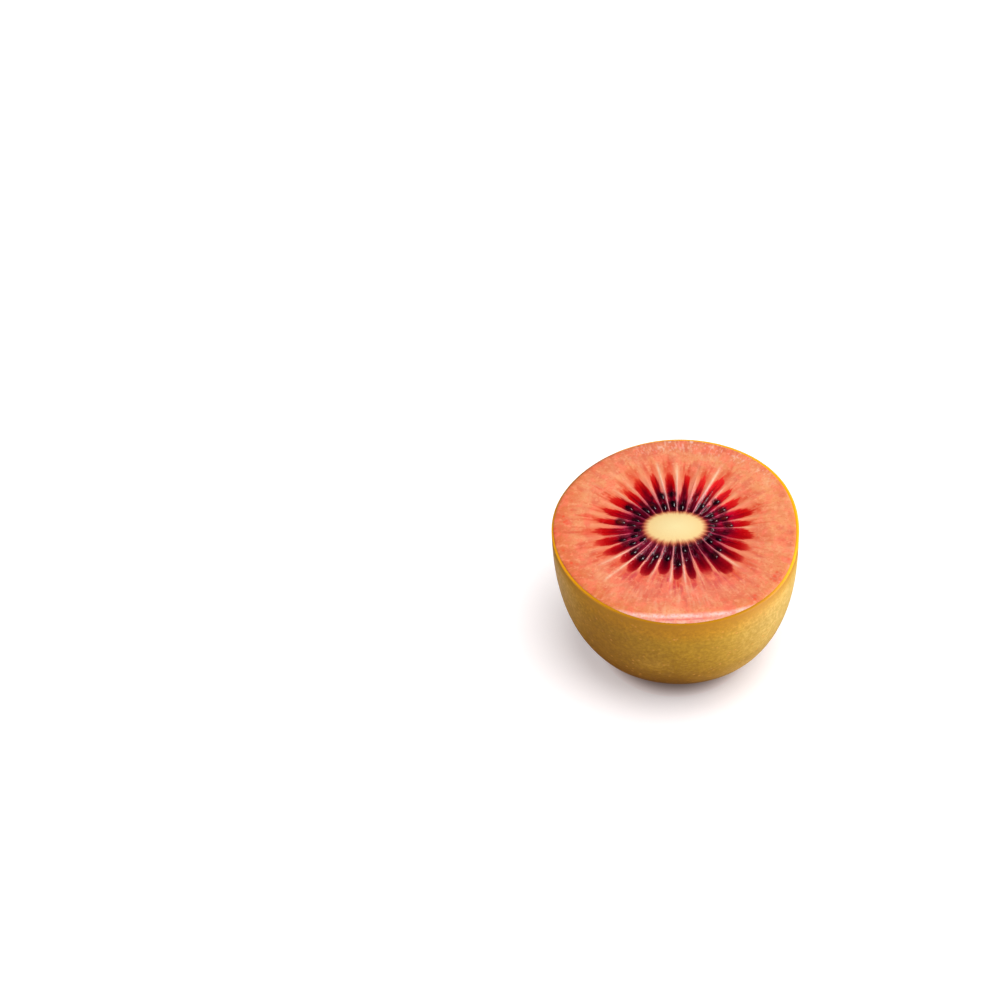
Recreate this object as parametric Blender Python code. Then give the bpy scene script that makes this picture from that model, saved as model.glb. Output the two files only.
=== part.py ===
"""Half of a red-fleshed kiwi fruit, cut across and standing on its corky end with the cut face up.

The fruit is one solid. Its cut face carries the raised oval core, the sunken rays of the seed
chambers with the walls of flesh between them, and the seeds, which are fused to the flesh.
Units are metres and +Z is up. The front of the fruit is at -Y, and the origin is on the foot,
under the middle of the fruit's box.
"""
import math
import random

import bmesh
import bpy
from mathutils import Matrix, Vector

NODE_NAME = "kiwi_half"

# The half fruit as a whole
FRUIT_RADIUS = 0.0240       # mean radius of the cut face
HALF_HEIGHT = 0.0331        # from the foot to the plane of the cut
PROFILE_POWER = 2.7         # fullness of the side: 2 is an ellipse, more is blunter
RIM_ROUND = 0.0004          # rounding where the cut meets the skin
SKIN_ROWS = 17
END_FADE = 6                # how soon the skin forgets its shape at the rim and at the cork

# Unevenness: waves round the fruit, share of the radius, a crest in degrees, twist in degrees
RIM_WAVES = ((3, 0.013, 60.0, 0.0), (4, 0.005, 45.0, 0.0), (5, 0.005, 315.0, 0.0))
SIDE_WAVES = ((2, 0.006, 20.0, 57.0), (3, 0.004, 140.0, 172.0))
CORK_WAVES = ((5, 0.030, 10.0, 0.0), (9, 0.018, 33.0, 0.0))

# The corky end that the half stands on
CORK_RADIUS = 0.0069
CORK_PROUD = 0.0009         # how far the cork stands out of the skin
CORK_ROUND = 0.0005         # rounding from the cork's side to the flat foot
CREASE_WIDTH = 0.0005       # the groove between the cork and the skin
CREASE_DEPTH = 0.0002

# The core, an oval with its long side across the fruit
CORE_HALF_LENGTH = 0.0065
CORE_HALF_WIDTH = 0.0042
CORE_RISE = 0.0005
CORE_EDGE_RISE = 0.0001
CORE_ROWS = (0.45, 0.8, 0.97)

# The rays of the seed chambers
RAY_COUNT = 28
RAY_UNEVEN = 0.20           # how far a ray's width may differ from the mean, as a share
FIRST_WALL = 90.0           # degrees, where a wall runs straight to the back
RAY_TIP = 0.635             # mean reach of a ray, as a share of the fruit's radius
RAY_TIP_UNEVEN = 0.035
FRONT_SHORTER = 0.090       # how much less the rays reach at the front
FRONT_SPREAD = 90.0         # degrees to each side of the front over which that fades
RAY_START = 1.06            # where the rays start, as a share of the core's radius
RAY_ROWS = (0.0, 0.12, 0.4, 0.7, 0.9, 1.0)
FURROW_DEPTH = 0.0004
FURROW_ACROSS = 0.6         # powers under 1, which flatten a furrow's floor across and along it
FURROW_ALONG = 0.5
FURROW_LEAN = 0.6           # a power under 1, which moves the deepest place towards the core
FLANK = 0.22                # where a ray's flank lies across its width
LAYOUT_SEED = 7

# The flesh outside the rays, and the shallow knife bevel at the front of the rim
FLESH_SWELL = 0.0002
BEVEL_WIDTH = 0.0026
BEVEL_DROP = 0.0005
BEVEL_REACH = 46.0          # degrees to each side of the front

# The seeds
SEED_COUNT = 34
SEED_LENGTH = 0.0020
SEED_WIDTH = 0.00105
SEED_THICKNESS = 0.0009
SEED_TAPER = 0.25           # how much narrower the end at the core is
SEED_NEAR = 0.0009          # least distance of a seed's middle from the core
SEED_REACH = 0.0044         # how much further from the core it may lie
SEED_CROWD = 1.2            # a power over 1, which crowds the seeds towards the core
SEED_SUNK = 0.0002          # how deep its middle lies under the ray's floor
SEED_ACROSS = 0.15          # how far from a ray's middle line, as a share of its width
SEED_SIZES = (0.88, 1.08)
SEED_LEAN = 10.0            # degrees off the ray's own direction, at most
SEED_GAP = 0.00015
SEED_TRIES = 6000
SEED_SIDES = 6
SEED_RINGS = 4
SEEDS_SEED = 11

FRONT = 270.0               # degrees, the direction of -Y

# Material: colour, roughness, metallic
FINISHES = {
    "Skin": ((0.42, 0.25, 0.05, 1.0), 0.55, 0.0),
    "Flesh": ((0.93, 0.33, 0.16, 1.0), 0.30, 0.0),
    "Rays": ((0.35, 0.01, 0.02, 1.0), 0.25, 0.0),
    "Core": ((0.98, 0.80, 0.42, 1.0), 0.35, 0.0),
    "Seeds": ((0.012, 0.006, 0.006, 1.0), 0.18, 0.0),
    "Cork": ((0.30, 0.13, 0.05, 1.0), 0.85, 0.0),
}
SKIN, FLESH, RAYS, CORE, SEEDS, CORK = range(len(FINISHES))


def waves(angle, table, down=0.0):
    """Sum of a table's waves at an angle in degrees, down running 0 to 1 from the rim to the cork."""
    return sum(
        share * math.cos(math.radians(count * (angle - crest) + twist * down))
        for count, share, crest, twist in table
    )


def facing(angle, direction, reach):
    """1 at a direction, falling smoothly to 0 at reach degrees to each side of it."""
    turn = abs((angle - direction + 180.0) % 360.0 - 180.0)
    if turn >= reach:
        return 0.0
    return math.cos(math.radians(90.0 * turn / reach)) ** 2


def rim_radius(angle):
    return FRUIT_RADIUS * (1.0 + waves(angle, RIM_WAVES))


def core_radius(angle):
    """Distance from the axis to the core's edge."""
    across = math.cos(math.radians(angle)) / CORE_HALF_LENGTH
    along = math.sin(math.radians(angle)) / CORE_HALF_WIDTH
    return 1.0 / math.hypot(across, along)


def bent(angle, radius):
    """Direction, seen from the axis, of a line of the flesh at a radius.

    The lines leave the oval core square to its edge and take on their own angle further out, so
    they are hyperbolas that share the core's foci. Inside the core they keep their place on its edge.
    """
    focus = math.sqrt(CORE_HALF_LENGTH ** 2 - CORE_HALF_WIDTH ** 2)
    across, along = math.cos(math.radians(angle)), math.sin(math.radians(angle))
    out = math.sqrt(max((radius / focus) ** 2 - across ** 2, (CORE_HALF_WIDTH / focus) ** 2))
    return math.degrees(math.atan2(out * along, math.hypot(1.0, out) * across))


def lay_out_rays():
    """The rays in order round the core, each with its first and last angle and its reach."""
    draw = random.Random(LAYOUT_SEED)
    shares = [1.0 + draw.uniform(-RAY_UNEVEN, RAY_UNEVEN) for _ in range(RAY_COUNT)]
    rays = []
    start = FIRST_WALL
    for share in shares:
        end = start + 360.0 * share / sum(shares)
        middle = (start + end) / 2.0
        reach = RAY_TIP + draw.uniform(-RAY_TIP_UNEVEN, RAY_TIP_UNEVEN)
        reach -= FRONT_SHORTER * facing(middle, FRONT, FRONT_SPREAD)
        rays.append((start, end, reach * FRUIT_RADIUS))
        start = end
    return rays


def furrow(across, along):
    """Height of a ray's floor: across runs 0 to 1 from wall to wall, along 0 to 1 from core to tip."""
    if not (0.0 < across < 1.0 and 0.0 < along < 1.0):
        return 0.0
    span = math.sin(math.pi * across) ** FURROW_ACROSS
    fade = math.sin(math.pi * along ** FURROW_LEAN) ** FURROW_ALONG
    return -FURROW_DEPTH * span * fade


def point(angle, radius, height):
    turn = math.radians(angle)
    return Vector((radius * math.cos(turn), radius * math.sin(turn), height))


def core_rows(angle):
    """The core's dome, from near its middle to its edge."""
    angle = bent(angle, 0.0)
    edge = core_radius(angle)
    rows = []
    for share in CORE_ROWS:
        rise = CORE_EDGE_RISE + (CORE_RISE - CORE_EDGE_RISE) * (1.0 - share ** 2)
        rows.append(point(angle, edge * share, HALF_HEIGHT + rise))
    return rows


def ray_rows(angle, ray, across):
    """The ray zone, from the core's edge to the ray's tip."""
    edge = core_radius(bent(angle, 0.0)) * RAY_START
    tip = ray[2]
    rows = []
    for along in RAY_ROWS:
        radius = edge + (tip - edge) * along
        rows.append(point(bent(angle, radius), radius, HALF_HEIGHT + furrow(across, along)))
    return rows


def rim_rows(angle, ray):
    """The plain flesh outside the rays, the bevel at the front and the rounded rim."""
    rim = rim_radius(angle)
    bevel = facing(angle, FRONT, BEVEL_REACH)
    bevel_start = rim - RIM_ROUND * 3.0 - BEVEL_WIDTH * bevel
    rows = [
        point(angle, (ray[2] + bevel_start) / 2.0, HALF_HEIGHT + FLESH_SWELL),
        point(angle, bevel_start, HALF_HEIGHT + FLESH_SWELL / 2.0),
    ]
    for turn in (0.0, math.pi / 4.0):
        inset = RIM_ROUND * (1.0 - math.sin(turn))
        lowered = BEVEL_DROP * bevel + RIM_ROUND * (1.0 - math.cos(turn))
        rows.append(point(angle, rim - inset, HALF_HEIGHT - lowered))
    return rows


def skin_rows(angle):
    """The side, a superellipse from just under the rim down to the crease round the cork."""
    power = PROFILE_POWER
    fullness = (FRUIT_RADIUS / (CORK_RADIUS + CREASE_WIDTH)) ** power - 1.0
    last_slope = math.atan(fullness ** (1.0 / power))
    depth = (HALF_HEIGHT - CORK_PROUD) * (1.0 + 1.0 / fullness) ** (1.0 / power)
    drop = BEVEL_DROP * facing(angle, FRONT, BEVEL_REACH) + RIM_ROUND
    rows = []
    for row in range(SKIN_ROWS):
        down = row / (SKIN_ROWS - 1)
        slope = last_slope * down
        scale = (math.cos(slope) ** power + math.sin(slope) ** power) ** (-1.0 / power)
        swell = waves(angle, RIM_WAVES) * math.cos(math.pi / 2.0 * down)
        swell += waves(angle, SIDE_WAVES, down) * math.sin(math.pi * down)
        swell += waves(angle, CORK_WAVES) * down ** END_FADE
        radius = FRUIT_RADIUS * math.cos(slope) * scale * (1.0 + swell)
        height = HALF_HEIGHT - depth * math.sin(slope) * scale - drop * (1.0 - down) ** END_FADE
        rows.append(point(angle, radius, height))
    return rows


def cork_rows(angle):
    """The crease, then the cork's uneven side, rounded down to the flat foot."""
    uneven = 1.0 + waves(angle, CORK_WAVES)
    rows = [point(angle, (CORK_RADIUS + CREASE_WIDTH / 2.0) * uneven, CORK_PROUD + CREASE_DEPTH)]
    for turn in (0.0, math.pi / 4.0, math.pi / 2.0):
        radius = (CORK_RADIUS - CORK_ROUND * (1.0 - math.cos(turn))) * uneven
        rows.append(point(angle, radius, CORK_ROUND * (1.0 - math.sin(turn))))
    return rows


def make_materials():
    for name, (colour, roughness, metallic) in FINISHES.items():
        material = bpy.data.materials.new(name)
        material.use_nodes = True
        shader = material.node_tree.nodes["Principled BSDF"]
        shader.inputs["Base Color"].default_value = colour
        shader.inputs["Roughness"].default_value = roughness
        shader.inputs["Metallic"].default_value = metallic
        material.diffuse_color = colour


def new_object(name, shape, collection):
    """Turn a finished bmesh into an object that has every material slot."""
    mesh = bpy.data.meshes.new(name)
    shape.to_mesh(mesh)
    shape.free()
    for finish in FINISHES:
        mesh.materials.append(bpy.data.materials[finish])
    part = bpy.data.objects.new(name, mesh)
    collection.objects.link(part)
    return part


def make_body(rays):
    """The fruit without its seeds: columns of points, joined into strips round the axis."""
    shape = bmesh.new()
    columns = []
    beside_wall = []
    for ray in rays:
        start, end, _ = ray
        for across in (0.0, FLANK, 0.5, 1.0 - FLANK):
            angle = start + (end - start) * across
            zones = [
                (CORE, core_rows(angle)),
                (RAYS, ray_rows(angle, ray, across)),
                (FLESH, rim_rows(angle, ray)),
                (SKIN, skin_rows(angle)),
                (CORK, cork_rows(angle)),
            ]
            columns.append([(zone, shape.verts.new(place)) for zone, rows in zones for place in rows])
            beside_wall.append(across in (0.0, 1.0 - FLANK))

    top = shape.verts.new((0.0, 0.0, HALF_HEIGHT + CORE_RISE))
    for index, column in enumerate(columns):
        following = columns[(index + 1) % len(columns)]
        face = shape.faces.new((top, column[0][1], following[0][1]))
        face.material_index = CORE
        for row in range(len(column) - 1):
            inner, outer = column[row][1], column[row + 1][1]
            face = shape.faces.new((inner, outer, following[row + 1][1], following[row][1]))
            zone = column[row + 1][0]
            face.material_index = FLESH if zone == RAYS and beside_wall[index] else zone
    foot = shape.faces.new([column[-1][1] for column in reversed(columns)])
    foot.material_index = CORK
    bmesh.ops.recalc_face_normals(shape, faces=shape.faces)
    bmesh.ops.triangulate(shape, faces=[face for face in shape.faces if face is not foot])
    return new_object(NODE_NAME, shape, bpy.context.scene.collection)


def place_seeds(rays):
    """Spread the seeds over the rays near the core, each clear of the ones before it."""
    draw = random.Random(SEEDS_SEED)
    half_run = (SEED_LENGTH - SEED_WIDTH) / 2.0
    seeds = []
    taken = []
    for _ in range(SEED_TRIES):
        if len(seeds) == SEED_COUNT:
            break
        ray = draw.choice(rays)
        across = 0.5 + draw.uniform(-SEED_ACROSS, SEED_ACROSS)
        away = draw.random() ** SEED_CROWD
        size = draw.uniform(*SEED_SIZES)
        lean = draw.uniform(-SEED_LEAN, SEED_LEAN)
        angle = ray[0] + (ray[1] - ray[0]) * across
        core = core_radius(bent(angle, 0.0))
        radius = core + SEED_NEAR + SEED_REACH * away
        ends = [point(bent(angle, radius + step), radius + step, 0.0) for step in (-half_run, 0.0, half_run)]
        if any((one - other).length < SEED_WIDTH + SEED_GAP for one in ends for other in taken):
            continue
        taken += ends
        along = (radius - core * RAY_START) / (ray[2] - core * RAY_START)
        run = ends[2] - ends[0]
        place = ends[1] + Vector((0.0, 0.0, HALF_HEIGHT + furrow(across, along) - SEED_SUNK))
        seeds.append((place, math.degrees(math.atan2(run.y, run.x)) + lean, size))
    return seeds


def make_seed(number, place, angle, size, collection):
    """A seed of few triangles, lying along its ray with its narrow end at the core."""
    shape = bmesh.new()
    upright_to_lying = Matrix.Rotation(math.pi / 2.0, 4, "Y")
    bmesh.ops.create_uvsphere(
        shape, u_segments=SEED_SIDES, v_segments=SEED_RINGS, radius=0.5, matrix=upright_to_lying
    )
    for vertex in shape.verts:
        narrow = 1.0 + SEED_TAPER * 2.0 * vertex.co.x
        vertex.co.x *= SEED_LENGTH * size
        vertex.co.y *= SEED_WIDTH * size * narrow
        vertex.co.z *= SEED_THICKNESS * size * narrow
    turn = Matrix.Rotation(math.radians(angle), 4, "Z")
    bmesh.ops.transform(shape, matrix=Matrix.Translation(place) @ turn, verts=shape.verts)
    bmesh.ops.recalc_face_normals(shape, faces=shape.faces)
    for face in shape.faces:
        face.material_index = SEEDS
    return new_object(f"seed_{number:02d}", shape, collection)


def fuse(body, collection):
    """Join everything in the collection to the body with one Boolean union, then remove it."""
    union = body.modifiers.new("Fuse seeds", "BOOLEAN")
    union.operation = "UNION"
    union.operand_type = "COLLECTION"
    union.collection = collection
    union.solver = "EXACT"
    bpy.context.view_layer.objects.active = body
    bpy.ops.object.modifier_apply(modifier=union.name)
    for seed in list(collection.objects):
        bpy.data.objects.remove(seed)
    bpy.data.collections.remove(collection)


def centre_on_origin(body):
    """Put the middle of the body's box over the origin, which its uneven rim moves it off."""
    lowest = [min(vertex.co[axis] for vertex in body.data.vertices) for axis in range(2)]
    highest = [max(vertex.co[axis] for vertex in body.data.vertices) for axis in range(2)]
    middle = [(low + high) / 2.0 for low, high in zip(lowest, highest)]
    body.data.transform(Matrix.Translation((-middle[0], -middle[1], 0.0)))


def main():
    for thing in list(bpy.data.objects):
        bpy.data.objects.remove(thing)
    make_materials()
    rays = lay_out_rays()
    body = make_body(rays)
    seeds = bpy.data.collections.new("Seeds")
    bpy.context.scene.collection.children.link(seeds)
    for number, (place, angle, size) in enumerate(place_seeds(rays), start=1):
        make_seed(number, place, angle, size, seeds)
    fuse(body, seeds)
    centre_on_origin(body)
    body.data.shade_smooth()
    body.data.set_sharp_from_angle(angle=math.radians(40.0))


main()
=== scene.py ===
"""Looks of a red-fleshed kiwi fruit half: wet cut face, seeds, thin golden skin and corky end."""
import math
import random
from types import SimpleNamespace

import bpy
import numpy as np
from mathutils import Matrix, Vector


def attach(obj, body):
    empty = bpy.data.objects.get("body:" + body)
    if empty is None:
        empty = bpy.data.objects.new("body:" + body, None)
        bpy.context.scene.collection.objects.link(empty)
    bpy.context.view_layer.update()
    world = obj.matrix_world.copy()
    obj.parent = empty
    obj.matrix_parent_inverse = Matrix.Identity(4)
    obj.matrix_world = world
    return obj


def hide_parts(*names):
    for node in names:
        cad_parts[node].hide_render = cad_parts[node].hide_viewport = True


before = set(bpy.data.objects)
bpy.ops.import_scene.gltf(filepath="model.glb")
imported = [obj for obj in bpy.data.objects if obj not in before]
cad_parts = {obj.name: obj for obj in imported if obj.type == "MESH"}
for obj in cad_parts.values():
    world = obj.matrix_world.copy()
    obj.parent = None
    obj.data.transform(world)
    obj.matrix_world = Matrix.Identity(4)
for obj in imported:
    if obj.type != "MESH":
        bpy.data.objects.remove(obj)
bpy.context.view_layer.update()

NODE_NAME = "kiwi_half"
BODY_NAME = "root"

# The fruit's shape, in metres, as its solid has it
FRUIT_RADIUS = 0.0240
HALF_HEIGHT = 0.0331
PROFILE_POWER = 2.7
RIM_ROUND = 0.0004
END_FADE = 6
RIM_WAVES = ((3, 0.013, 60.0, 0.0), (4, 0.005, 45.0, 0.0), (5, 0.005, 315.0, 0.0))
SIDE_WAVES = ((2, 0.006, 20.0, 57.0), (3, 0.004, 140.0, 172.0))
CORK_WAVES = ((5, 0.030, 10.0, 0.0), (9, 0.018, 33.0, 0.0))
CORK_RADIUS = 0.0069
CORK_PROUD = 0.0009
CORK_ROUND = 0.0005
CREASE_WIDTH = 0.0005
CREASE_DEPTH = 0.0002
CORE_HALF_LENGTH = 0.0065
CORE_HALF_WIDTH = 0.0042
CORE_RISE = 0.0005
CORE_EDGE_RISE = 0.0001
RAY_COUNT = 28
RAY_UNEVEN = 0.20
FIRST_WALL = 90.0
RAY_TIP = 0.635
RAY_TIP_UNEVEN = 0.035
FRONT_SHORTER = 0.090
FRONT_SPREAD = 90.0
RAY_START = 1.06
FURROW_DEPTH = 0.0004
FURROW_ACROSS = 0.6
FURROW_ALONG = 0.5
FURROW_LEAN = 0.6
LAYOUT_SEED = 7
FLESH_SWELL = 0.0002
BEVEL_WIDTH = 0.0026
BEVEL_DROP = 0.0005
BEVEL_REACH = 46.0
SEED_COUNT = 34
SEED_LENGTH = 0.0020
SEED_WIDTH = 0.00105
SEED_THICKNESS = 0.0009
SEED_TAPER = 0.25
SEED_NEAR = 0.0009
SEED_REACH = 0.0044
SEED_CROWD = 1.2
SEED_SUNK = 0.0002
SEED_ACROSS = 0.15
SEED_SIZES = (0.88, 1.08)
SEED_LEAN = 10.0
SEED_GAP = 0.00015
SEED_TRIES = 6000
SEEDS_SEED = 11

# Directions in degrees round the fruit, from +X on towards +Y
FRONT = 270.0
BACK = 90.0
RIGHT = 0.0
LEFT = 180.0

# Fineness of the meshes
RAY_COLUMNS = 28            # columns of points to a ray
FLESH_ROWS = 116
SKIN_COLUMNS = 320
SKIN_ROWS = 90
CORK_COLUMNS = 240

# The skin's thickness, which shows as a yellow line round the cut
LIP_WIDTH = 0.00042
LIP_WIDER = 0.00040
LIP_NARROWER = 0.00020
LIP_WIDEST_AT = 45.0
LIP_SPREAD = 90.0
LIP_COLOUR = (250, 168, 4)
SKIN_DENT = 0.00004
SKIN_INSET = 0.00002
FLESH_DEPTH = 0.0090        # how far the flesh reaches down inside the skin
RIDGE_HEIGHT = 0.00010      # ridges of jelly in the rays, and their width as a share of a ray's
RIDGE_WIDTH = 0.10
THREAD_HEIGHT = 0.00002     # faint threads in the flesh beyond the rays
CORK_EDGE_ROUGH = 0.00012
CORK_WRINKLE = 0.00025

# Random patches: the seed of the draw, cells round the fruit and cells from the middle out or the rim down
FINE = (21, 460, 16)
THREADS = (22, 300, 6)
BROAD = (23, 44, 9)
BLOTCHES = (24, 110, 14)
BENDS = (25, RAY_COUNT, 5)
# Spots of painted glint by the back rim
GLINT_SPOTS = (26, 560, 44)
STREAKS = (27, 250, 5)
JELLY_AND_GLINTS = (29, 330, 34)
DARK_PULP = (30, 110, 20)
SKIN_DENTS = (41, 60, 22)
SKIN_CLOUDS = (42, 14, 6)
CORK_EDGES = [(51 + step, 90, 1) for step in range(6)]
CORK_WRINKLES = (61, 40, 10)
LENGTHS_SEED = 28
PAINT_SEED = 31
RIDGES_SEED = 71

# Light and ground
LIGHT_SHARE = 0.80          # lowers the cut face's colours, because its light is that much stronger
SKY_LIGHT = 0.22
SOFTBOX_DISTANCE = 0.9
FLOOR_HALF = 10.0           # half the length of the ground's sides
FLOOR_TONE = (0.71, 0.69, 0.695, 1.0)
FLOOR_GLOW = 0.42
GLOW_TONE = (1.0, 0.93, 0.93, 1.0)

# Name, kind, direction, degrees above the ground, power, and width in degrees or metres
LIGHTS = (
    ("top", "SUN", 320.0, 78.0, 3.12, 40.0),
    ("right", "SUN", -12.0, 2.0, 2.9, 40.0),
    ("glints", "AREA", 30.0, 46.0, 4.5, 0.34),
    ("sheen", "AREA", -12.0, -24.0, 7.0, 0.8),
)

# The narrow dark shadow round the foot: light on the floor there, as a share, and how far out it reaches
CONTACT_LIGHT = 0.22
CONTACT_NEAR = 0.0118
CONTACT_FAR = 0.0164
CONTACT_TONE = (1.0, 0.62, 0.52, 1.0)
BLACK = (0.0, 0.0, 0.0, 1.0)

# Colours as the eye reads them, 0 to 255, by share of the way
FLESH_TONES = (
    (0.0, (246, 140, 102)),
    (0.66, (247, 156, 110)),
    (0.80, (248, 162, 110)),
    (0.92, (243, 148, 98)),
    (1.0, (238, 138, 80)),
)
RAY_TONES = (
    (0.0, (90, 0, 24)),
    (0.20, (102, 0, 24)),
    (0.36, (138, 0, 24)),
    (0.50, (176, 0, 22)),
    (0.66, (194, 0, 12)),
    (0.84, (204, 10, 8)),
    (0.96, (216, 46, 28)),
    (1.06, (236, 92, 56)),
)
DARK_RAY_TONES = (
    (0.0, (70, 0, 22)),
    (0.30, (76, 0, 22)),
    (0.58, (106, 0, 20)),
    (0.82, (142, 0, 18)),
    (0.96, (180, 16, 28)),
    (1.06, (220, 80, 66)),
)
WALL_TONES = (
    (0.0, (150, 34, 76)),
    (0.25, (196, 60, 100)),
    (0.45, (228, 92, 98)),
    (0.70, (246, 132, 100)),
    (1.0, (246, 142, 102)),
)
CLEAR_WALL_TONES = (
    (0.0, (214, 116, 120)),
    (0.30, (222, 110, 116)),
    (0.60, (244, 140, 116)),
    (1.0, (246, 146, 108)),
)
CORE_TONES = (
    (0.0, (254, 234, 172)),
    (0.55, (253, 224, 160)),
    (0.85, (252, 216, 150)),
    (1.0, (248, 196, 130)),
)
# The skin's tones from its hidden inside down to the cork; the darkening from about a third of the way down
# is painted shade
SKIN_TONES_AND_SHADE = (
    (-1.0, (240, 150, 100)),
    (-0.05, (168, 112, 8)),
    (0.0, (178, 120, 4)),
    (0.08, (184, 126, 6)),
    (0.16, (172, 127, 16)),
    (0.36, (160, 115, 10)),
    (0.52, (128, 82, 2)),
    (0.72, (98, 57, 0)),
    (1.0, (100, 58, 4)),
)
WALL_LINE_TONES = ((0.3, (240, 168, 172)), (0.6, (255, 206, 170)))

# Pale lines along the walls between rays: half widths near the core and far from it, and the few long
# ones by direction and by reach as a share of the rim
WALL_LINE_NEAR = 0.00008
WALL_LINE_FAR = 0.00030
LONG_WALLS = (
    (90.0, 0.72),
    (66.0, 0.80),
    (105.0, 0.76),
    (212.0, 0.76),
    (228.0, 0.84),
    (262.0, 0.64),
    (282.0, 0.66),
    (325.0, 0.66),
)

# The camera, read from the photo's 1000 by 1000 frame
PHOTO_SIZE = 1000
SENSOR_MM = 36.0
CAMERA_ELEVATION = 48.0
CAMERA_DISTANCE = 0.48
CUT_CENTRE_PIXEL = (674.9, 527.6)
PIXELS_PER_RADIUS = 124.0


def srgb(red, green, blue):
    """A colour given as the eye reads it, 0 to 255, turned into the linear one that a shader takes."""
    def linear(value):
        share = value / 255.0
        return share / 12.92 if share <= 0.04045 else ((share + 0.055) / 1.055) ** 2.4
    return (linear(red), linear(green), linear(blue), 1.0)


def to_linear(colours):
    """The same for an array of colours, with a fourth channel of ones added."""
    share = np.clip(np.asarray(colours) / 255.0, 0.0, 1.0)
    linear = np.where(share <= 0.04045, share / 12.92, ((share + 0.055) / 1.055) ** 2.4)
    return np.concatenate([linear, np.ones(linear.shape[:-1] + (1,))], axis=-1).astype(np.float32)


def lay(paint, layers):
    """Lays colours, or arrays of them, over others one by one, each by its share."""
    for colour, share in layers:
        paint = paint + (np.asarray(colour, dtype=float) - paint) * np.clip(share, 0.0, 1.0)[..., None]
    return paint


def gradient(value, stops):
    """Colours between stops of place and colour."""
    places = [stop[0] for stop in stops]
    channels = zip(*(stop[1] for stop in stops))
    return np.stack([np.interp(value, places, levels) for levels in channels], axis=-1)


def smooth(low, high, value):
    """0 below low, 1 above high, and a smooth rise between."""
    share = np.clip((value - low) / (high - low), 0.0, 1.0)
    return share * share * (3.0 - 2.0 * share)


def mix(first, second, share):
    return first + (second - first) * share


def patches(kind, across, along):
    """Smooth random patches, 0 to 1, over two coordinates that run 0 to 1; across wraps round."""
    seed, cells_across, cells_along = kind
    table = np.random.default_rng(seed).random((cells_across, cells_along + 2))
    x = (across % 1.0) * cells_across
    y = np.clip(along, 0.0, 1.0) * cells_along
    column, row = np.floor(x).astype(int), np.floor(y).astype(int)
    tx, ty = smooth(0.0, 1.0, x - column), smooth(0.0, 1.0, y - row)
    column, following = column % cells_across, (column + 1) % cells_across
    near = mix(table[column, row], table[following, row], tx)
    far = mix(table[column, row + 1], table[following, row + 1], tx)
    return mix(near, far, ty)


def waves(angle, table, down=0.0):
    total = 0.0
    for count, share, crest, twist in table:
        total = total + share * np.cos(np.radians(count * (angle - crest) + twist * down))
    return total


def facing(angle, direction, reach):
    """1 at a direction, falling smoothly to 0 at reach degrees to each side of it."""
    turn = np.abs((angle - direction + 180.0) % 360.0 - 180.0)
    return np.where(turn < reach, np.cos(np.radians(90.0 * np.minimum(turn / reach, 1.0))) ** 2, 0.0)


def rim_radius(angle):
    return FRUIT_RADIUS * (1.0 + waves(angle, RIM_WAVES))


def lip_width(angle):
    """How wide the skin's cut edge shows as a line round the flesh."""
    wider = LIP_WIDER * facing(angle, LIP_WIDEST_AT, LIP_SPREAD)
    return LIP_WIDTH + wider - LIP_NARROWER * facing(angle, FRONT, BEVEL_REACH)


def core_radius(angle):
    across = np.cos(np.radians(angle)) / CORE_HALF_LENGTH
    along = np.sin(np.radians(angle)) / CORE_HALF_WIDTH
    return 1.0 / np.hypot(across, along)


def bent(line, radius):
    """Direction at a radius of a line of the flesh, which leaves the oval core square to its edge."""
    focus = math.sqrt(CORE_HALF_LENGTH ** 2 - CORE_HALF_WIDTH ** 2)
    across, along = np.cos(np.radians(line)), np.sin(np.radians(line))
    out = np.sqrt(np.maximum((radius / focus) ** 2 - across ** 2, (CORE_HALF_WIDTH / focus) ** 2))
    return np.degrees(np.arctan2(out * along, np.hypot(1.0, out) * across))


def lay_out_rays():
    """The rays in order round the core, each with its first and last angle and its reach."""
    draw = random.Random(LAYOUT_SEED)
    shares = [1.0 + draw.uniform(-RAY_UNEVEN, RAY_UNEVEN) for _ in range(RAY_COUNT)]
    rays = []
    start = FIRST_WALL
    for share in shares:
        end = start + 360.0 * share / sum(shares)
        reach = RAY_TIP + draw.uniform(-RAY_TIP_UNEVEN, RAY_TIP_UNEVEN)
        reach -= FRONT_SHORTER * float(facing((start + end) / 2.0, FRONT, FRONT_SPREAD))
        rays.append((start, end, reach * FRUIT_RADIUS))
        start = end
    return rays


def furrow(across, along):
    """Height of a ray's floor: across runs 0 to 1 from wall to wall, along 0 to 1 from core to tip."""
    inside = (across > 0.0) & (across < 1.0) & (along > 0.0) & (along < 1.0)
    across, along = np.clip(across, 0.0, 1.0), np.clip(along, 0.0, 1.0)
    span = np.sin(math.pi * across).clip(0.0) ** FURROW_ACROSS
    fade = np.sin(math.pi * along ** FURROW_LEAN).clip(0.0) ** FURROW_ALONG
    return np.where(inside, -FURROW_DEPTH * span * fade, 0.0)


RAYS = lay_out_rays()
RAY_STARTS = np.array([ray[0] for ray in RAYS])
RAY_ENDS = np.array([ray[1] for ray in RAYS])
RAY_TIPS = np.array([ray[2] for ray in RAYS])


def find_ray(line):
    """Which ray a line of the flesh lies in, and how far across it, from 0 to 1."""
    turned = (line - FIRST_WALL) % 360.0 + FIRST_WALL
    ray = np.clip(np.searchsorted(RAY_STARTS, turned + 1e-7, side="right") - 1, 0, RAY_COUNT - 1)
    across = (turned - RAY_STARTS[ray]) / (RAY_ENDS[ray] - RAY_STARTS[ray])
    return ray, np.clip(across, 0.0, 1.0)


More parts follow.
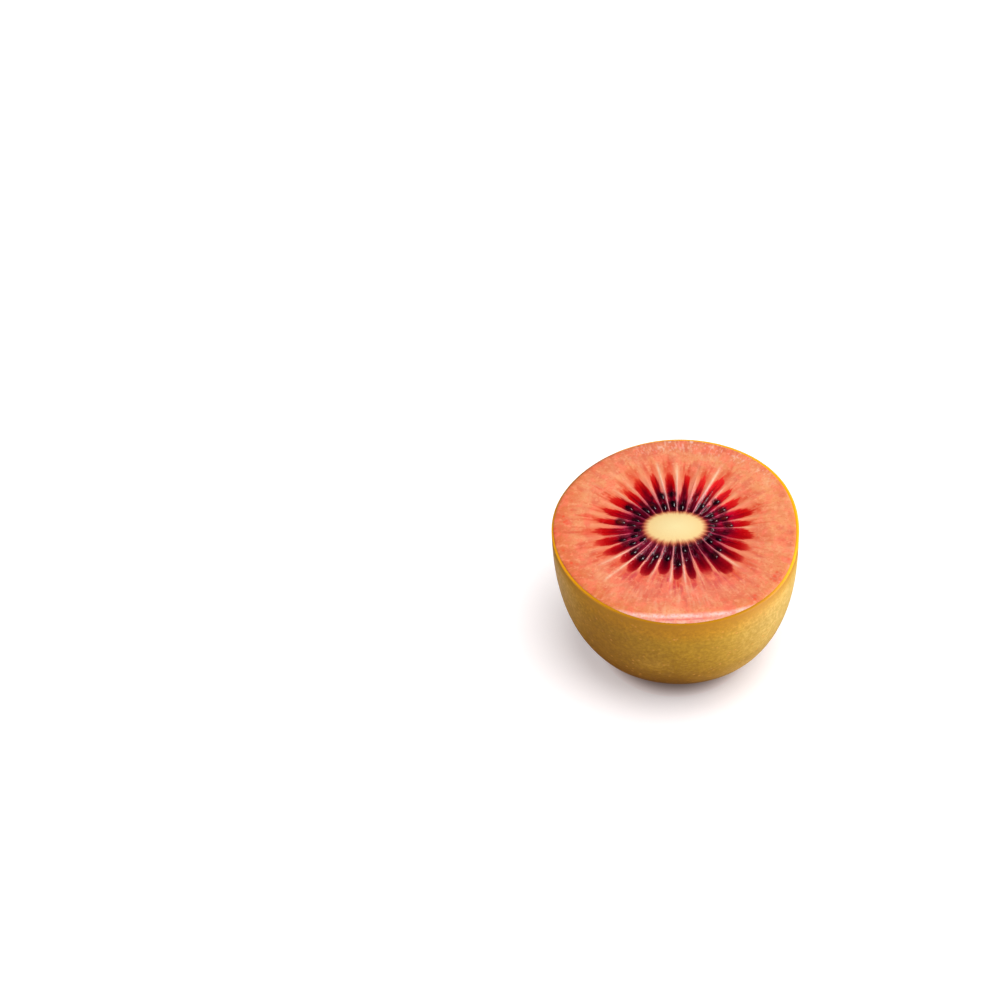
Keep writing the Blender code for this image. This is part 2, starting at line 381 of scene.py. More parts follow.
def middle_of_rim():
    """Where the axis lies off the origin, because the uneven rim's box is centred on the origin."""
    angle = np.arange(0.0, 360.0, 0.5)
    x = rim_radius(angle) * np.cos(np.radians(angle))
    y = rim_radius(angle) * np.sin(np.radians(angle))
    return np.array([-(x.min() + x.max()) / 2.0, -(y.min() + y.max()) / 2.0, 0.0])


AXIS_PLACE = middle_of_rim()


def ring_points(angle, radius, height):
    turn = np.radians(angle)
    points = np.stack([radius * np.cos(turn), radius * np.sin(turn), height + 0.0 * turn], axis=-1)
    return points + AXIS_PLACE


def new_mesh(name, points, faces, uv, values, material):
    """A mesh piece from arrays: corner lists of equal length, a map for baking and point values."""
    mesh = bpy.data.meshes.new(name)
    mesh.from_pydata(points.tolist(), [], faces)
    mesh.update()
    layer = mesh.uv_layers.new(name="OFBake")
    corners = np.zeros(len(mesh.loops), dtype=np.int32)
    mesh.loops.foreach_get("vertex_index", corners)
    layer.data.foreach_set("uv", uv[corners].astype(np.float32).ravel())
    for key, value in values.items():
        if key == "paint":
            attribute = mesh.attributes.new(key, "FLOAT_COLOR", "POINT")
            attribute.data.foreach_set("color", value.astype(np.float32).ravel())
        else:
            attribute = mesh.attributes.new(key, "FLOAT", "POINT")
            attribute.data.foreach_set("value", np.asarray(value, dtype=np.float32).ravel())
    mesh.polygons.foreach_set("use_smooth", [True] * len(mesh.polygons))
    mesh.materials.append(material)
    piece = bpy.data.objects.new(name, mesh)
    bpy.context.scene.collection.objects.link(piece)
    return piece


def ring_map(angle, radii):
    """A flat map for rings of points: each ring of the mesh is a ring of the map."""
    turn = np.radians(angle)
    ring = np.stack([np.cos(turn), np.sin(turn)], axis=-1)
    return (0.5 + radii[:, None, None] * ring[None, :, :]).reshape(-1, 2)


def band_faces(rows, columns, first=0):
    """Quads between rings of points that follow one another, each ring closed on itself."""
    row = np.arange(rows - 1)[:, None] * columns + first
    column = np.arange(columns)[None, :]
    following = (column + 1) % columns
    below = row + columns
    quads = np.stack([row + column, below + column, below + following, row + following], axis=-1)
    return quads.reshape(-1, 4).tolist()


def finish_piece(piece):
    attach(piece, BODY_NAME)
    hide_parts(NODE_NAME)


class Shader:
    """Short ways to add nodes to one material."""

    def __init__(self, name):
        self.material = bpy.data.materials.new(name)
        self.material.use_nodes = True
        self.tree = self.material.node_tree
        self.surface = self.tree.nodes["Principled BSDF"]

    def node(self, kind, **settings):
        node = self.tree.nodes.new(kind)
        for key, value in settings.items():
            setattr(node, key, value)
        return node

    def feed(self, socket, value):
        if isinstance(value, bpy.types.NodeSocket):
            self.tree.links.new(socket, value)
        else:
            socket.default_value = value

    def value(self, name):
        """A value kept on the mesh's points."""
        return self.node("ShaderNodeAttribute", attribute_name=name).outputs["Fac"]

    def colour(self, name):
        """A colour kept on the mesh's points."""
        return self.node("ShaderNodeAttribute", attribute_name=name).outputs["Color"]

    def places(self):
        return self.node("ShaderNodeTexCoord").outputs["Object"]

    def noise(self, scale, detail=3.0, rough=0.5):
        node = self.node("ShaderNodeTexNoise")
        self.feed(node.inputs["Vector"], self.places())
        node.inputs["Scale"].default_value = scale
        node.inputs["Detail"].default_value = detail
        node.inputs["Roughness"].default_value = rough
        return node.outputs["Fac"]

    def dots(self, scale):
        """Distance from the nearest of many scattered dots, and that dot's own random value."""
        node = self.node("ShaderNodeTexVoronoi")
        self.feed(node.inputs["Vector"], self.places())
        node.inputs["Scale"].default_value = scale
        return node.outputs["Distance"], node.outputs["Color"]

    def times(self, first, second):
        node = self.node("ShaderNodeMath", operation="MULTIPLY")
        self.feed(node.inputs[0], first)
        self.feed(node.inputs[1], second)
        return node.outputs[0]

    def span(self, value, low, high, to_low=0.0, to_high=1.0):
        """Maps low..high to to_low..to_high, smoothly and held at the ends."""
        node = self.node("ShaderNodeMapRange", interpolation_type="SMOOTHSTEP")
        self.feed(node.inputs["Value"], value)
        node.inputs["From Min"].default_value = low
        node.inputs["From Max"].default_value = high
        node.inputs["To Min"].default_value = to_low
        node.inputs["To Max"].default_value = to_high
        return node.outputs["Result"]

    def blend(self, share, first, second, how="MIX"):
        node = self.node("ShaderNodeMix", data_type="RGBA", blend_type=how)
        self.feed(node.inputs["Factor"], share)
        self.feed(node.inputs[6], first)
        self.feed(node.inputs[7], second)
        return node.outputs[2]

    def mottle(self, colour, where, value, low, high, share, tint, how="MIX"):
        """Lays a tint over a colour by the share that a value from low to high gives it."""
        return self.blend(self.times(where, self.span(value, low, high, 0.0, share)), colour, tint, how)

    def ramp(self, value, stops):
        node = self.node("ShaderNodeValToRGB")
        self.feed(node.inputs["Fac"], value)
        elements = node.color_ramp.elements
        while len(elements) < len(stops):
            elements.new(1.0)
        for element, (place, colour) in zip(elements, stops):
            element.position = place
            element.color = colour
        return node.outputs["Color"]

    def bump(self, height, distance, strength=1.0, normal=None):
        node = self.node("ShaderNodeBump")
        self.feed(node.inputs["Height"], height)
        node.inputs["Distance"].default_value = distance
        node.inputs["Strength"].default_value = strength
        if normal:
            self.feed(node.inputs["Normal"], normal)
        return node.outputs["Normal"]

    def set(self, **values):
        for key, value in values.items():
            self.feed(self.surface.inputs[key.replace("_", " ")], value)


def flesh_material():
    shader = Shader("Kiwi flesh")
    flesh, wet = shader.value("flesh"), shader.value("wet")
    broad = shader.noise(310.0, detail=4.0, rough=0.6)
    middle = shader.noise(900.0, rough=0.6)
    grain = shader.noise(2300.0, detail=2.0)
    colour = shader.colour("paint")
    colour = shader.mottle(colour, flesh, broad, 0.40, 0.66, 0.80, (0.93, 0.74, 0.74, 1.0), "MULTIPLY")
    colour = shader.mottle(colour, flesh, middle, 0.48, 0.70, 0.45, srgb(240, 168, 124))
    colour = shader.mottle(colour, flesh, shader.noise(520.0), 0.48, 0.66, 0.50, srgb(238, 118, 92))
    colour = shader.mottle(colour, flesh, grain, 0.50, 0.32, 0.34, srgb(220, 90, 66))
    speck, _ = shader.dots(900.0)
    colour = shader.mottle(colour, shader.value("specks"), speck, 0.42, 0.15, 1.0, srgb(224, 78, 50))
    jelly_and_glints = shader.times(wet, shader.noise(1300.0, detail=1.5))
    shader.set(
        Base_Color=colour,
        Roughness=shader.span(wet, 0.0, 1.0, 0.40, 0.22),
        Specular_IOR_Level=0.14,
        Subsurface_Weight=shader.times(flesh, 0.10),
        Subsurface_Radius=(1.0, 0.35, 0.2),
        Subsurface_Scale=0.0008,
        Coat_Weight=shader.times(wet, shader.span(middle, 0.42, 0.60, 0.06, 0.30)),
        Coat_Roughness=0.10,
        Normal=shader.bump(jelly_and_glints, 0.00016, 0.8, shader.bump(grain, 0.00012, 0.50)),
    )
    return shader.material


def skin_material():
    shader = Shader("Kiwi skin")
    outside = shader.value("outside")
    broad = shader.noise(170.0, detail=5.0, rough=0.6)
    fine = shader.noise(1350.0, detail=2.5, rough=0.6)
    colour = shader.colour("paint")
    colour = shader.mottle(colour, outside, broad, 0.35, 0.65, 0.55, (0.86, 0.84, 0.70, 1.0), "MULTIPLY")
    colour = shader.mottle(colour, outside, fine, 0.46, 0.70, 1.0, (1.20, 1.25, 1.8, 1.0), "MULTIPLY")
    colour = shader.mottle(colour, outside, fine, 0.52, 0.32, 1.0, (0.88, 0.85, 0.62, 1.0), "MULTIPLY")
    away, chance = shader.dots(760.0)
    dot = shader.times(shader.span(away, 0.30, 0.06), shader.span(chance, 0.2, 0.8))
    dot = shader.times(dot, outside)
    colour = shader.blend(shader.times(dot, 0.75), colour, srgb(212, 146, 58))
    shader.set(
        Base_Color=colour,
        Roughness=0.50,
        Specular_IOR_Level=0.22,
        Normal=shader.bump(dot, 0.00006, 0.5, shader.bump(fine, 0.00010, 0.25)),
    )
    return shader.material


def seed_material():
    shader = Shader("Kiwi seeds")
    tone = shader.noise(260.0, detail=2.0)
    colour = shader.ramp(tone, [(0.35, srgb(12, 0, 6)), (0.62, srgb(34, 3, 12)), (0.72, srgb(84, 12, 12))])
    shader.set(Base_Color=colour, Roughness=0.24, Specular_IOR_Level=0.60)
    return shader.material


def cork_material():
    shader = Shader("Kiwi cork")
    grain = shader.noise(900.0, detail=6.0, rough=0.7)
    colour = shader.ramp(shader.span(grain, 0.3, 0.7), [
        (0.0, srgb(104, 48, 22)),
        (0.45, srgb(166, 102, 58)),
        (1.0, srgb(222, 160, 110)),
    ])
    shader.set(Base_Color=colour, Roughness=0.9, Normal=shader.bump(grain, 0.0002, 0.6))
    return shader.material


def flesh_height(line, radius):
    """Height of the cut face on a line of the flesh, at a distance from the axis."""
    ray, across = find_ray(line)
    angle = bent(line, radius)
    core = core_radius(bent(line, 0.0))
    edge = core * RAY_START
    tip = RAY_TIPS[ray]
    rim = rim_radius(angle)
    bevel = facing(angle, FRONT, BEVEL_REACH)
    bevel_start = rim - RIM_ROUND * 3.0 - BEVEL_WIDTH * bevel
    share = radius / core
    dome = CORE_EDGE_RISE + (CORE_RISE - CORE_EDGE_RISE) * (1.0 - share ** 2)
    dome = np.where(share < 1.0, dome, CORE_EDGE_RISE * (1.0 - smooth(1.0, RAY_START, share)))
    sunk = furrow(across, (radius - edge) / (tip - edge))
    swell = FLESH_SWELL * smooth(tip, (tip + bevel_start) / 2.0, radius)
    fall = smooth(bevel_start, rim, radius)
    return HALF_HEIGHT + dome + sunk + swell * (1.0 - fall) - BEVEL_DROP * bevel * fall


def place_seeds():
    """The seeds' places, drawn by the same rule as the solid's."""
    draw = random.Random(SEEDS_SEED)
    half_run = (SEED_LENGTH - SEED_WIDTH) / 2.0
    seeds = []
    taken = []
    for _ in range(SEED_TRIES):
        if len(seeds) == SEED_COUNT:
            break
        ray = draw.choice(RAYS)
        across = 0.5 + draw.uniform(-SEED_ACROSS, SEED_ACROSS)
        away = draw.random() ** SEED_CROWD
        size = draw.uniform(*SEED_SIZES)
        lean = draw.uniform(-SEED_LEAN, SEED_LEAN)
        line = ray[0] + (ray[1] - ray[0]) * across
        radius = core_radius(bent(line, 0.0)) + SEED_NEAR + SEED_REACH * away
        height = flesh_height(line, radius) - SEED_SUNK
        stops = (radius - half_run, radius, radius + half_run)
        ends = [ring_points(bent(line, stop), stop, height) for stop in stops]
        if any(np.hypot(*(one - other)[:2]) < SEED_WIDTH + SEED_GAP for one in ends for other in taken):
            continue
        taken += ends
        run = ends[2] - ends[0]
        seeds.append((ends[1], math.atan2(run[1], run[0]) + math.radians(lean), size))
    return seeds


SEEDS = place_seeds()


def read_face(line, radius):
    """Where points of the cut face lie among its core, rays and rim, with the unevenness there."""
    face = SimpleNamespace(line=line, radius=radius, angle=bent(line, radius))
    face.out = radius / rim_radius(face.angle)

    def uneven(kind):
        return patches(kind, line / 360.0, face.out) * 2.0 - 1.0

    face.fine = uneven(FINE)
    face.thread = uneven(THREADS)
    face.broad = uneven(BROAD)
    face.blotch = uneven(BLOTCHES)
    face.streak = uneven(STREAKS)
    face.front = facing(face.angle, FRONT, 100.0)
    face.back = facing(face.angle, BACK, 80.0)
    face.ends = np.clip(facing(line, RIGHT, 65.0) + facing(line, LEFT, 65.0), 0.0, 1.0)

    # The core's painted edge is squarer than an oval and lies a little to the left
    place = bent(line, 0.0)
    turn = np.radians(place)
    shape = 0.955 + 0.045 * np.abs(np.sin(2.0 * turn)) - 0.05 * np.cos(turn) - 0.04 * np.cos(turn) ** 2
    face.core = core_radius(place) * (shape + 0.045 * face.thread + 0.03 * face.fine)

    # Each ray's middle wanders from side to side
    face.ray, face.across = find_ray(line)
    bend = 0.08 * uneven(BENDS) * smooth(0.3, 0.5, face.out)
    face.side = np.abs(face.across + bend - 0.5) * 2.0

    # Each ray's colour reaches its own length, with a feathered tip
    longer = np.random.default_rng(LENGTHS_SEED).uniform(-0.07, 0.03, RAY_COUNT)[face.ray]
    longer = longer + 0.10 * facing(line, 178.0, 70.0) + 0.10 * facing(line, 312.0, 40.0)
    longer = longer - 0.07 * facing(line, 271.0, 12.0)
    feather = 0.006 * face.fine + (0.025 * face.fine + 0.030 * face.streak) * (1.0 - face.front)
    tip = RAY_TIPS[face.ray] * (1.0 + longer) * (1.0 + feather)
    face.along = (radius - face.core) / (tip - face.core)
    return face


def plain_flesh(face):
    """The flesh round the rays: tones by side, then patches, streaks, painted glints and dashes."""
    out, front, fine, thread = face.out, face.front, face.fine, face.thread
    threads = np.maximum(front, 0.7 * face.back)
    streaky = 0.18 + 0.36 * threads
    painted_glints = smooth(0.60, 0.80, patches(GLINT_SPOTS, face.line / 360.0, out))
    painted_glints = painted_glints * facing(face.angle, 76.0, 70.0) * smooth(0.80, 0.92, out)
    dashes = smooth(0.10, 0.70, face.streak) * smooth(0.92, 1.06, face.along) * smooth(1.42, 1.18, face.along)
    return lay(gradient(out, FLESH_TONES), (
        # Pinker in front and at the back, more orange at the right
        ((238, 116, 98), 0.65 * front * smooth(0.98, 0.70, out)),
        ((234, 128, 104), 0.45 * face.back * smooth(0.76, 0.92, out)),
        ((255, 164, 104), 0.45 * facing(face.angle, 10.0, 70.0) * smooth(0.6, 0.8, out)),
        # Patches, and a deep orange stretch along the left rim
        ((232, 102, 82), 0.50 * smooth(0.0, 0.9, face.blotch)),
        ((255, 182, 134), 0.45 * smooth(0.0, 0.9, face.broad)),
        ((232, 108, 60), 0.60 * facing(face.angle, 195.0, 75.0) * smooth(0.80, 0.96, out)),
        # Fine streaks away from the core
        ((255, 196, 160), 0.55 * smooth(0.2, 0.9, fine) * streaky),
        ((224, 86, 76), 0.42 * smooth(0.3, 0.95, -fine) * streaky),
        ((220, 58, 66), 0.65 * front * smooth(0.05, 0.9, thread) * smooth(0.82, 0.58, out)),
        ((255, 202, 176), 0.55 * threads * smooth(0.15, 0.9, -thread) * smooth(0.95, 0.66, out)),
        # Painted glints: pale spots where the wet flesh shines by the back rim; and short red dashes just
        # beyond the rays in front
        ((255, 226, 214), 0.8 * painted_glints),
        ((214, 44, 74), 0.60 * front * dashes),
    ))


def ray_share(face, wider):
    """1 inside the rays and 0 outside. They are slim at the sides and club-shaped in front."""
    along = face.along
    steps = (0.0, 0.20, 0.50, 0.75, 0.92, 1.05)
    slim = np.interp(along, steps, (0.82, 0.82, 0.77, 0.68, 0.54, 0.0))
    full = np.interp(along, steps, (0.86, 0.88, 0.92, 0.84, 0.56, 0.0))
    width = mix(slim, full, np.maximum(face.ends, 0.8 * facing(face.angle, 135.0, 40.0)))
    width = width - 0.15 * facing(face.line, BACK, 60.0) * smooth(0.1, 0.5, along)
    widest, round_run = 0.74, 0.29
    round_end = np.sqrt(np.clip(1.0 - ((along - widest) / round_run) ** 2, 0.0, 1.0))
    club = np.interp(along, (0.0, 0.20, widest), (0.84, 0.86, 0.87))
    club = club * np.where(along > widest, round_end, 1.0)
    width = mix(width, club, smooth(0.1, 0.6, face.front)) + 0.05 * facing(face.line, 308.0, 30.0)
    width = width + wider * smooth(0.2, 0.6, along)
    inside = width - face.side + 0.06 * face.fine + 0.08 * face.thread
    return smooth(-0.13, 0.13, inside) * smooth(1.07, 0.98, along)


def ray_colours(face, riper):
    """Colours inside the rays: near black by the core, then wine red, then red at the tips."""
    along, side, front, streak = face.along, face.side, face.front, face.streak
    ripe = along + riper + 0.04 * face.fine + 0.10 * side ** 2
    rays = mix(gradient(ripe, RAY_TONES), gradient(ripe, DARK_RAY_TONES), (front ** 0.7)[..., None])
    flanks = side * smooth(0.12, 0.30, along) * smooth(0.70, 0.40, along)
    crimson = facing(face.angle, 26.0, 48.0) * smooth(0.24, 0.40, along) * smooth(0.85, 0.55, along)
    centres = smooth(0.60, 0.20, side) * smooth(0.82, 0.55, along + 0.10 * face.thread)
    pulp = smooth(0.45, 0.75, patches(DARK_PULP, face.line / 360.0, face.out)) * smooth(0.75, 0.30, along)
    jelly_and_glints = smooth(0.58, 0.85, patches(JELLY_AND_GLINTS, face.line / 360.0, face.out)) * smooth(0.60, 0.36, along)
    return lay(rays, (
        # Purple flanks by the core's ends, crimson at the right, brighter red at the upper right
        ((150, 0, 54), 0.70 * np.clip(face.ends + 0.3, 0.0, 1.0) * flanks),
        ((216, 0, 58), 0.70 * crimson),
        ((250, 34, 38), 0.85 * facing(face.angle, 54.0, 44.0) * smooth(0.30, 0.52, along)),
        # Dark and bright streaks
        ((104, 0, 22), 0.42 * smooth(0.0, 0.9, streak) * smooth(1.0, 0.65, along)),
        ((214, 12, 24), 0.30 * smooth(0.1, 0.9, -streak) * smooth(0.30, 0.65, along) * (1.0 - front)),
        # Darker down the middle, most of all at the back, and in patches
        ((50, 0, 12), 0.30 * smooth(0.50, 0.0, side) * smooth(0.85, 0.40, along)),
        ((66, 0, 22), 0.50 * facing(face.line, BACK, 65.0) * centres),
        ((30, 0, 10), 0.60 * pulp),
        # Rosy by the core at the left, and dark with redder flanks in front
        ((206, 40, 86), 0.42 * facing(face.angle, 208.0, 64.0) * smooth(0.55, 0.25, along)),
        ((62, 0, 12), 0.50 * front * smooth(0.50, 0.05, side) * smooth(0.92, 0.60, along)),
        ((176, 4, 30), 0.50 * front * smooth(0.35, 0.75, side) * smooth(0.30, 0.70, along)),
        # Spots of clear jelly, pale partly by the jelly's own colour and partly as a painted highlight of its
        # wet shine
        ((168, 118, 140), 0.34 * jelly_and_glints * np.maximum(front, 0.4) * smooth(0.06, 0.14, along)),
    ))


def seed_pulp(face):
    """How much of the dark pulp round each seed lies at each point."""
    pulp = np.zeros_like(face.out)
    spot = ring_points(face.angle, face.radius, 0.0)
    for place, _, size in SEEDS:
        away = np.hypot(spot[..., 0] - place[0], spot[..., 1] - place[1]) / (size * SEED_LENGTH)
        pulp = np.maximum(pulp, smooth(0.66, 0.28, away + 0.08 * face.thread))
    return pulp


def wall_lines(face, bright, reach):
    """Pale lines along the walls between rays, each of its own brightness and reach."""
    for direction, far in LONG_WALLS:
        closest = int(np.argmin(np.abs((RAY_STARTS - direction + 180.0) % 360.0 - 180.0)))
        bright[closest] = 1.0
        reach[closest] = far
    spans = np.radians(RAY_ENDS - RAY_STARTS)[face.ray]
    off_wall = np.minimum(face.across, 1.0 - face.across) * spans * face.radius
    nearest = np.where(face.across < 0.5, face.ray, (face.ray + 1) % RAY_COUNT)
    half_width = mix(WALL_LINE_NEAR, WALL_LINE_FAR, smooth(0.25, 0.8, face.out))
    lines = np.exp(-(off_wall / half_width) ** 2) * bright[nearest] * (1.0 + 0.25 * face.fine)
    lines = lines * smooth(0.0, 0.12, face.along) * smooth(0.02, -0.10, face.out - reach[nearest])
    lines = lines * mix(1.0, smooth(0.30, 0.60, face.along), face.ends)
    return lines * (1.0 - 0.35 * face.front * smooth(0.65, 0.25, face.along))


def paint_core(face, paint):
    """The core, with its fibres running out between the rays and a brown edge."""
    edge = face.radius - face.core - 0.00022 * smooth(0.2, 1.0, face.side) + 0.00038 * face.thread
    cream = gradient(face.radius / face.core, CORE_TONES)
    return lay(paint, (
        ((206, 96, 62), 0.80 * smooth(0.00080, -0.00030, edge + 0.00020 * face.fine)),
        (cream, smooth(0.00044, -0.00100, edge + 0.00040 * face.fine)),
    ))


def paint_bevel_and_highlights(face, paint):
    """The knife's bevel in front: a pale crescent with bands along it, partly the bevel's paler flesh and
    partly painted highlight on its wet edge, with a pink line.
    """
    bevel = facing(face.angle, FRONT + 4.0, BEVEL_REACH)
    inside = (face.out - 1.0) * FRUIT_RADIUS / BEVEL_WIDTH + bevel ** 0.7
    there = smooth(0.02, 0.28, bevel)

    def band(place, spread):
        return np.exp(-((inside - place) / spread) ** 2)

    # Pale bands of painted highlight on the wet bevel, over its paler flesh, and a pink line
    return lay(paint, (
        ((253, 180, 158), 0.90 * there * smooth(0.02, 0.22, inside)),
        ((255, 220, 212), 0.95 * there * band(0.32 + 0.03 * face.blotch, 0.14)),
        ((255, 208, 184), 0.70 * there * band(0.80, 0.12)),
        ((246, 112, 112), 0.80 * smooth(0.72, 0.94, bevel) * band(0.57 + 0.03 * face.broad, 0.06)),
    ))


def paint_flesh(face):
    """The cut face's colours, laid one over another from the flesh to the core."""
    draw = np.random.default_rng(PAINT_SEED)
    wider = draw.uniform(-0.20, 0.06, RAY_COUNT)[face.ray]
    riper = draw.uniform(-0.08, 0.10, RAY_COUNT)[face.ray]
    vivid = draw.uniform(0.4, 1.0, RAY_COUNT)[face.ray]
    bright = draw.uniform(0.0, 0.45, RAY_COUNT)
    reach = draw.uniform(0.56, 0.68, RAY_COUNT)
    along = face.along
    haze = smooth(1.42, 0.94, along + 0.24 * face.thread) * smooth(0.98, 0.20, face.side)
    clear = np.maximum(face.front, facing(face.line, BACK, 50.0)) * (1.0 - face.ends)
    walls = mix(gradient(along, WALL_TONES), gradient(along, CLEAR_WALL_TONES), (clear ** 0.5)[..., None])
    paint = lay(plain_flesh(face), (
        # Reddish haze in which each ray ends, walls between the rays, and the rays
        ((228, 60, 34), 0.92 * haze * vivid * (1.0 - 0.3 * face.front)),
        (walls, smooth(1.10, 0.70, along)),
        (ray_colours(face, riper), ray_share(face, wider)),
        # Pulp round the seeds, and the pale lines
        ((44, 0, 16), 0.65 * seed_pulp(face)),
        (gradient(face.out, WALL_LINE_TONES), 0.95 * wall_lines(face, bright, reach)),
    ))
    return paint_bevel_and_highlights(face, paint_core(face, paint))


def flesh_marks(face):
    """Values for the material: where it is plain flesh, where it has red specks and how wet it is."""
    flesh = smooth(0.9, 1.2, face.along)
    left, low_right = facing(face.angle, 190.0, 70.0), facing(face.angle, 318.0, 45.0)
    specks = smooth(0.80, 0.92, face.out) * np.clip(0.15 + left + 0.8 * low_right, 0.0, 1.0)
    specks = specks * smooth(-0.1, 0.7, face.blotch) * (1.0 - facing(face.angle, FRONT, BEVEL_REACH))
    wet = mix(0.30, 1.0, smooth(1.0, 0.6, face.along)) * smooth(1.0, 1.3, face.radius / face.core)
    return {"flesh": flesh, "specks": 0.8 * specks, "wet": wet}


def jelly_ridges(face):
    """Heights of the long thin ridges of wet jelly, two to a ray."""
    draw = np.random.default_rng(RIDGES_SEED)
    ridges = np.zeros_like(face.along)
    for _ in range(2):
        place = draw.uniform(0.28, 0.72, RAY_COUNT)[face.ray]
        start = draw.uniform(0.08, 0.35, RAY_COUNT)[face.ray]
        end = start + draw.uniform(0.15, 0.45, RAY_COUNT)[face.ray]
        across = np.exp(-((face.across - place) / RIDGE_WIDTH) ** 2)
        ridges += across * smooth(0.0, 0.08, face.along - start) * smooth(0.0, 0.08, end - face.along)
    return RIDGE_HEIGHT * ridges


def make_flesh(material):
    """The cut face with its relief, on a plug of flesh that fills the skin to a little way down."""
    across = np.arange(RAY_COLUMNS) / RAY_COLUMNS
    line = (RAY_STARTS[:, None] + (RAY_ENDS - RAY_STARTS)[:, None] * across[None, :]).ravel()
    columns = len(line)
    share = np.linspace(0.0, 1.0, FLESH_ROWS + 1)[1:, None]
    at_rim = bent(line, FRUIT_RADIUS)
    outer = rim_radius(at_rim) - lip_width(at_rim)
    radius = share * outer[None, :]
    face = read_face(np.broadcast_to(line[None, :], radius.shape), radius)
    ridges = jelly_ridges(face) + THREAD_HEIGHT * face.thread * smooth(0.9, 1.1, face.along)
    top = ring_points(face.angle, radius, flesh_height(face.line, radius) + ridges)

    # The plug's side and underside, which the skin hides
    deep = np.full_like(line, HALF_HEIGHT - FLESH_DEPTH)
    below = [ring_points(at_rim, outer, top[-1, :, 2] - drop) for drop in (0.0004, 0.002)]
    below += [ring_points(at_rim, outer * 0.985, deep), ring_points(at_rim, outer * 0.3, deep)]
    rings = np.concatenate([top, np.array(below)], axis=0)
    rows = rings.shape[0]
    ends = [(0.0, 0.0, HALF_HEIGHT + CORE_RISE), (0.0, 0.0, HALF_HEIGHT - FLESH_DEPTH)]
    points = np.concatenate([rings.reshape(-1, 3), np.array(ends) + AXIS_PLACE])

    faces = band_faces(rows, columns)
    last = (rows - 1) * columns
    for column in range(columns):
        following = (column + 1) % columns
        faces.append([rows * columns, column, following])
        faces.append([rows * columns + 1, last + following, last + column])

    uv = ring_map(line, np.concatenate([share[:, 0] * 0.45, (0.455, 0.465, 0.475, 0.485)]))
    uv = np.concatenate([uv, [[0.5, 0.5], [0.02, 0.02]]])

    def on_all(value, hidden):
        """Adds the values of the hidden rings and of the two middle points."""
        shape = (len(below) * columns,) + value.shape[2:]
        middle = value[0].mean(axis=0, keepdims=True)
        flat = value.reshape((-1,) + value.shape[2:])
        return np.concatenate([flat, np.full(shape, hidden), middle, middle * 0.0 + hidden])

    values = {key: on_all(value, 0.0) for key, value in flesh_marks(face).items()}
    values["paint"] = on_all(to_linear(paint_flesh(face)) * LIGHT_SHARE, 0.5)
    return new_mesh("kiwi_flesh", points, faces, uv, values, material)


def skin_surface(angle, down):
    """Radius and height of the skin's outside, down running 0 to 1 from the rim to the cork."""
    power = PROFILE_POWER
    fullness = (FRUIT_RADIUS / (CORK_RADIUS + CREASE_WIDTH)) ** power - 1.0
    last_slope = math.atan(fullness ** (1.0 / power))
    depth = (HALF_HEIGHT - CORK_PROUD) * (1.0 + 1.0 / fullness) ** (1.0 / power)
    drop = BEVEL_DROP * facing(angle, FRONT, BEVEL_REACH) + RIM_ROUND
    slope = last_slope * down
    scale = (np.cos(slope) ** power + np.sin(slope) ** power) ** (-1.0 / power)
    swell = waves(angle, RIM_WAVES) * np.cos(math.pi / 2.0 * down)
    swell = swell + waves(angle, SIDE_WAVES, down) * np.sin(math.pi * down)
    swell = swell + waves(angle, CORK_WAVES) * down ** END_FADE
    radius = FRUIT_RADIUS * np.cos(slope) * scale * (1.0 + swell)
    height = HALF_HEIGHT - depth * np.sin(slope) * scale - drop * (1.0 - down) ** END_FADE
    return radius, height


